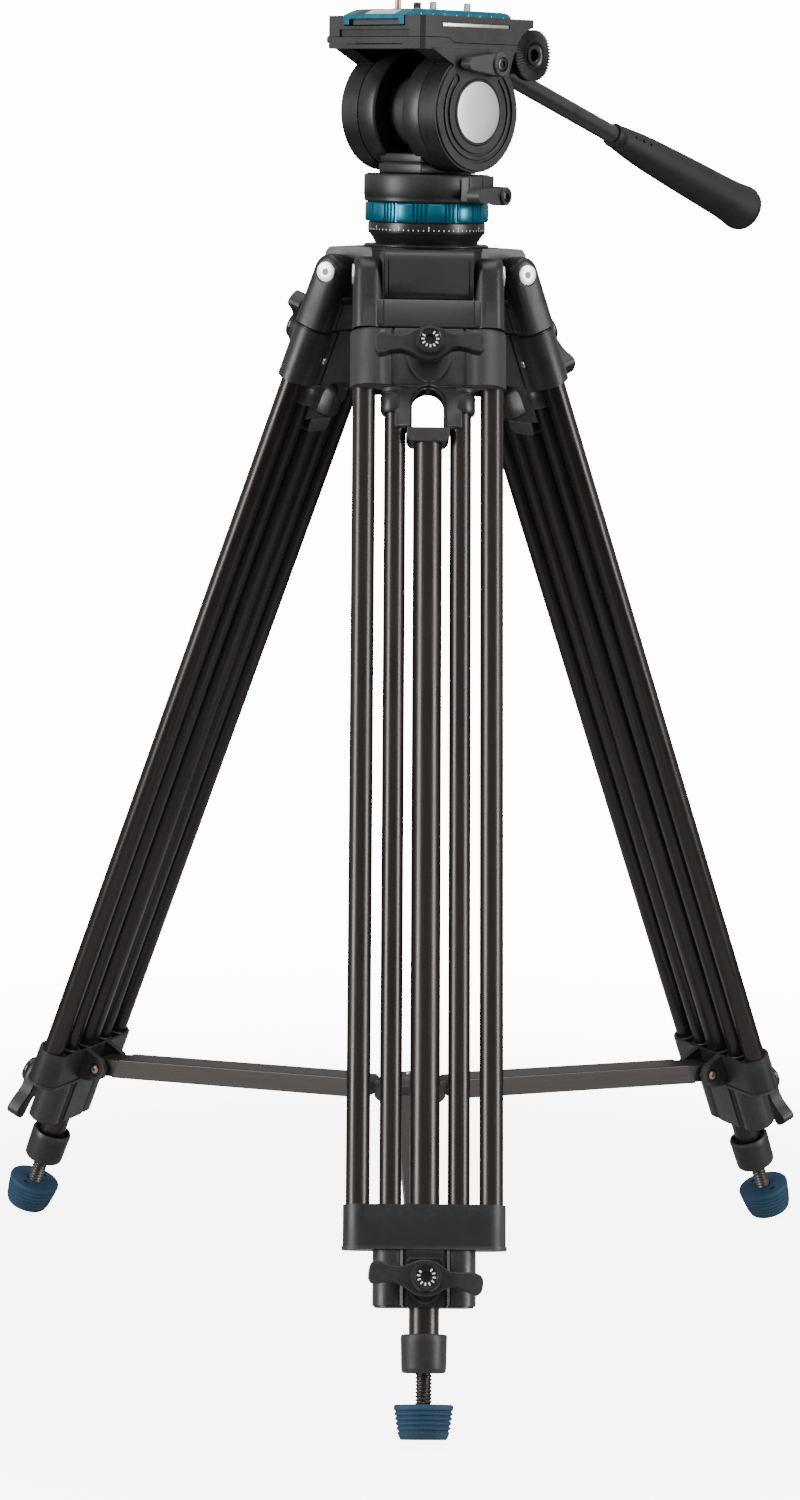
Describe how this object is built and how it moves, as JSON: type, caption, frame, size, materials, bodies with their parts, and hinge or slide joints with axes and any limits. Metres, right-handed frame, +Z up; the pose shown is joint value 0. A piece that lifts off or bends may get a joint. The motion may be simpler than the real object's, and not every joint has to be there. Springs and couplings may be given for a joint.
{
  "type": "video tripod with fluid head",
  "caption": "Twin-tube video tripod with telescoping legs, a mid-level spreader and a fluid pan and tilt head with quick-release plate and pan bar.",
  "frame": {"origin": "on the floor under the pan axis, at the centre of the footprint", "axes": "+Z up along the pan axis, -Y towards the front leg, +X to the right seen from the front"},
  "size_m": [0.5438, 0.6212, 0.8228],
  "materials": {
    "casting": "satin black coated casting",
    "moulding": "black moulded plastic",
    "tube": "dark bronze-black anodised",
    "teal": "teal anodised",
    "silver": "brushed",
    "brass": "satin",
    "rubber": "dark blue rubber",
    "grip": "matte black foam rubber",
    "spreader": "grey-brown anodised"
  },
  "bodies": {
    "base": {"crown": "casting", "bowl_neck": "casting", "scale_ring": "casting"},
    "drag_ring": {"drag_ring": "teal"},
    "pan_head": {"pan_base": "casting", "yoke": "casting"},
    "pan_lever": {"pan_lever": "moulding"},
    "tilt_head": {"tilt_drum_left": "casting", "tilt_drum_right": "casting", "badge_left": "silver", "badge_right": "silver", "platform": "casting", "plate_clamp": "casting", "rosette_left": "casting", "rosette_right": "casting"},
    "tilt_lever": {"tilt_lever": "moulding"},
    "quick_plate": {"quick_plate": "teal", "locating_pin": "moulding", "front_pin": "brass"},
    "camera_screw": {"camera_screw": "silver"},
    "spare_screw": {"spare_screw": "silver"},
    "plate_lock_knob": {"plate_lock_knob": "moulding"},
    "pan_bar": {"bar_clamp": "casting", "bar_tube": "tube", "bar_grip": "grip"},
    "bar_knob": {"bar_knob": "moulding"},
    "spreader_hub": {"spreader_hub": "casting"},
    "front_leg": {"front_fork": "casting", "front_axle": "silver", "front_outer_frame": "tube"},
    "front_slide": {"front_slide_collar": "casting", "front_mid_frame": "tube"},
    "front_extension": {"front_centre_tube": "tube", "front_boot": "moulding"},
    "front_foot": {"front_foot": "rubber"},
    "front_upper_knob": {"front_upper_knob": "moulding"},
    "front_lower_knob": {"front_lower_knob": "moulding"},
    "front_arm": {"front_arm": "spreader"},
    "right_leg": {"right_fork": "casting", "right_axle": "silver", "right_outer_frame": "tube"},
    "right_slide": {"right_slide_collar": "casting", "right_mid_frame": "tube"},
    "right_extension": {"right_centre_tube": "tube", "right_boot": "moulding"},
    "right_foot": {"right_foot": "rubber"},
    "right_upper_knob": {"right_upper_knob": "moulding"},
    "right_lower_knob": {"right_lower_knob": "moulding"},
    "right_arm": {"right_arm": "spreader"},
    "left_leg": {"left_fork": "casting", "left_axle": "silver", "left_outer_frame": "tube"},
    "left_slide": {"left_slide_collar": "casting", "left_mid_frame": "tube"},
    "left_extension": {"left_centre_tube": "tube", "left_boot": "moulding"},
    "left_foot": {"left_foot": "rubber"},
    "left_upper_knob": {"left_upper_knob": "moulding"},
    "left_lower_knob": {"left_lower_knob": "moulding"},
    "left_arm": {"left_arm": "spreader"}
  },
  "joints": [
    {"name": "drag_ring_turn", "type": "hinge", "parent": "base", "child": "drag_ring", "pos_m": [0, 0, 0.69405], "axis": [0, 0, 1], "continuous": true},
    {"name": "pan", "type": "hinge", "parent": "base", "child": "pan_head", "pos_m": [0, 0, 0.7088], "axis": [0, 0, 1], "continuous": true},
    {"name": "pan_lever_turn", "type": "hinge", "parent": "pan_head", "child": "pan_lever", "pos_m": [0.03979, -0.01941, 0.705], "axis": [0.788, -0.6157, 0], "range_deg": [-20, 35]},
    {"name": "tilt", "type": "hinge", "parent": "pan_head", "child": "tilt_head", "pos_m": [0, 0, 0.7555], "axis": [-0.6916, 0.7222, 0], "range_deg": [-80, 60]},
    {"name": "tilt_lever_turn", "type": "hinge", "parent": "tilt_head", "child": "tilt_lever", "pos_m": [0.03774, -0.02423, 0.7845], "axis": [-0.6916, 0.7222, 0], "range_deg": [-60, 60]},
    {"name": "plate_slide", "type": "slide", "parent": "tilt_head", "child": "quick_plate", "axis": [-0.7222, -0.6916, 0], "range_m": [-0.03, 0.03]},
    {"name": "camera_screw_turn", "type": "hinge", "parent": "quick_plate", "child": "camera_screw", "pos_m": [0.00152, 0.00145, 0.816], "axis": [0, 0, 1], "continuous": true},
    {"name": "spare_screw_turn", "type": "hinge", "parent": "quick_plate", "child": "spare_screw", "pos_m": [0.02362, 0.02262, 0.816], "axis": [0, 0, 1], "continuous": true},
    {"name": "plate_lock_turn", "type": "hinge", "parent": "tilt_head", "child": "plate_lock_knob", "pos_m": [-0.04335, 0.01636, 0.7985], "axis": [-0.6916, 0.7222, 0], "range_deg": [-90, 0]},
    {"name": "pan_bar_swing", "type": "hinge", "parent": "tilt_head", "child": "pan_bar", "pos_m": [0.00722, 0.06548, 0.791], "axis": [0.6916, -0.7222, 0], "range_deg": [-35, 80]},
    {"name": "bar_knob_turn", "type": "hinge", "parent": "pan_bar", "child": "bar_knob", "pos_m": [-0.00523, 0.07848, 0.791], "axis": [-0.6916, 0.7222, 0], "continuous": true},
    {"name": "front_leg_fold", "type": "hinge", "parent": "base", "child": "front_leg", "pos_m": [0, -0.0456, 0.6567], "axis": [1, 0, 0], "range_deg": [0, 21.3]},
    {"name": "front_arm_fold", "type": "hinge", "parent": "front_leg", "child": "front_arm", "pos_m": [0, -0.23414, 0.11284], "axis": [1, 0, 0], "range_deg": [-1, 64.4]},
    {"name": "hub_level", "type": "hinge", "parent": "front_arm", "child": "spreader_hub", "pos_m": [0, -0.02, 0.1288], "axis": [1, 0, 0], "range_deg": [-85.7, 1]},
    {"name": "front_upper_slide", "type": "slide", "parent": "front_leg", "child": "front_slide", "axis": [0, -0.3633, -0.9317], "range_m": [0, 0.45]},
    {"name": "front_lower_slide", "type": "slide", "parent": "front_slide", "child": "front_extension", "axis": [0, -0.3633, -0.9317], "range_m": [0, 0.45]},
    {"name": "front_foot_turn", "type": "hinge", "parent": "front_extension", "child": "front_foot", "pos_m": [0, -0.29624, 0.01383], "axis": [0, -0.3633, -0.9317], "continuous": true},
    {"name": "front_upper_knob_turn", "type": "hinge", "parent": "front_slide", "child": "front_upper_knob", "pos_m": [0, -0.06413, 0.60918], "axis": [0, -0.9317, 0.3633], "range_deg": [-90, 90]},
    {"name": "front_lower_knob_turn", "type": "hinge", "parent": "front_slide", "child": "front_lower_knob", "pos_m": [0, -0.26664, 0.08977], "axis": [0, -0.9317, 0.3633], "range_deg": [-90, 90]},
    {"name": "right_leg_fold", "type": "hinge", "parent": "base", "child": "right_leg", "pos_m": [0.03949, 0.0228, 0.6567], "axis": [-0.5, 0.866, 0], "range_deg": [0, 21.3]},
    {"name": "right_arm_fold", "type": "hinge", "parent": "right_leg", "child": "right_arm", "pos_m": [0.20277, 0.11707, 0.11284], "axis": [-0.5, 0.866, 0], "range_deg": [-1, 64.4]},
    {"name": "right_upper_slide", "type": "slide", "parent": "right_leg", "child": "right_slide", "axis": [0.3146, 0.1816, -0.9317], "range_m": [0, 0.45]},
    {"name": "right_lower_slide", "type": "slide", "parent": "right_slide", "child": "right_extension", "axis": [0.3146, 0.1816, -0.9317], "range_m": [0, 0.45]},
    {"name": "right_foot_turn", "type": "hinge", "parent": "right_extension", "child": "right_foot", "pos_m": [0.25655, 0.14812, 0.01383], "axis": [0.3146, 0.1816, -0.9317], "continuous": true},
    {"name": "right_upper_knob_turn", "type": "hinge", "parent": "right_slide", "child": "right_upper_knob", "pos_m": [0.05554, 0.03206, 0.60918], "axis": [0.8069, 0.4658, 0.3633], "range_deg": [-90, 90]},
    {"name": "right_lower_knob_turn", "type": "hinge", "parent": "right_slide", "child": "right_lower_knob", "pos_m": [0.23092, 0.13332, 0.08977], "axis": [0.8069, 0.4658, 0.3633], "range_deg": [-90, 90]},
    {"name": "left_leg_fold", "type": "hinge", "parent": "base", "child": "left_leg", "pos_m": [-0.03949, 0.0228, 0.6567], "axis": [-0.5, -0.866, 0], "range_deg": [0, 21.3]},
    {"name": "left_arm_fold", "type": "hinge", "parent": "left_leg", "child": "left_arm", "pos_m": [-0.20277, 0.11707, 0.11284], "axis": [-0.5, -0.866, 0], "range_deg": [-1, 64.4]},
    {"name": "left_upper_slide", "type": "slide", "parent": "left_leg", "child": "left_slide", "axis": [-0.3146, 0.1816, -0.9317], "range_m": [0, 0.45]},
    {"name": "left_lower_slide", "type": "slide", "parent": "left_slide", "child": "left_extension", "axis": [-0.3146, 0.1816, -0.9317], "range_m": [0, 0.45]},
    {"name": "left_foot_turn", "type": "hinge", "parent": "left_extension", "child": "left_foot", "pos_m": [-0.25655, 0.14812, 0.01383], "axis": [-0.3146, 0.1816, -0.9317], "continuous": true},
    {"name": "left_upper_knob_turn", "type": "hinge", "parent": "left_slide", "child": "left_upper_knob", "pos_m": [-0.05554, 0.03206, 0.60918], "axis": [-0.8069, 0.4658, 0.3633], "range_deg": [-90, 90]},
    {"name": "left_lower_knob_turn", "type": "hinge", "parent": "left_slide", "child": "left_lower_knob", "pos_m": [-0.23092, 0.13332, 0.08977], "axis": [-0.8069, 0.4658, 0.3633], "range_deg": [-90, 90]}
  ],
  "couplings": [
    {"joint": "front_arm_fold", "follows": "front_leg_fold", "ratio": 2.9788},
    {"joint": "hub_level", "follows": "front_leg_fold", "ratio": -3.9788},
    {"joint": "right_arm_fold", "follows": "right_leg_fold", "ratio": 2.9788},
    {"joint": "left_arm_fold", "follows": "left_leg_fold", "ratio": 2.9788}
  ]
}
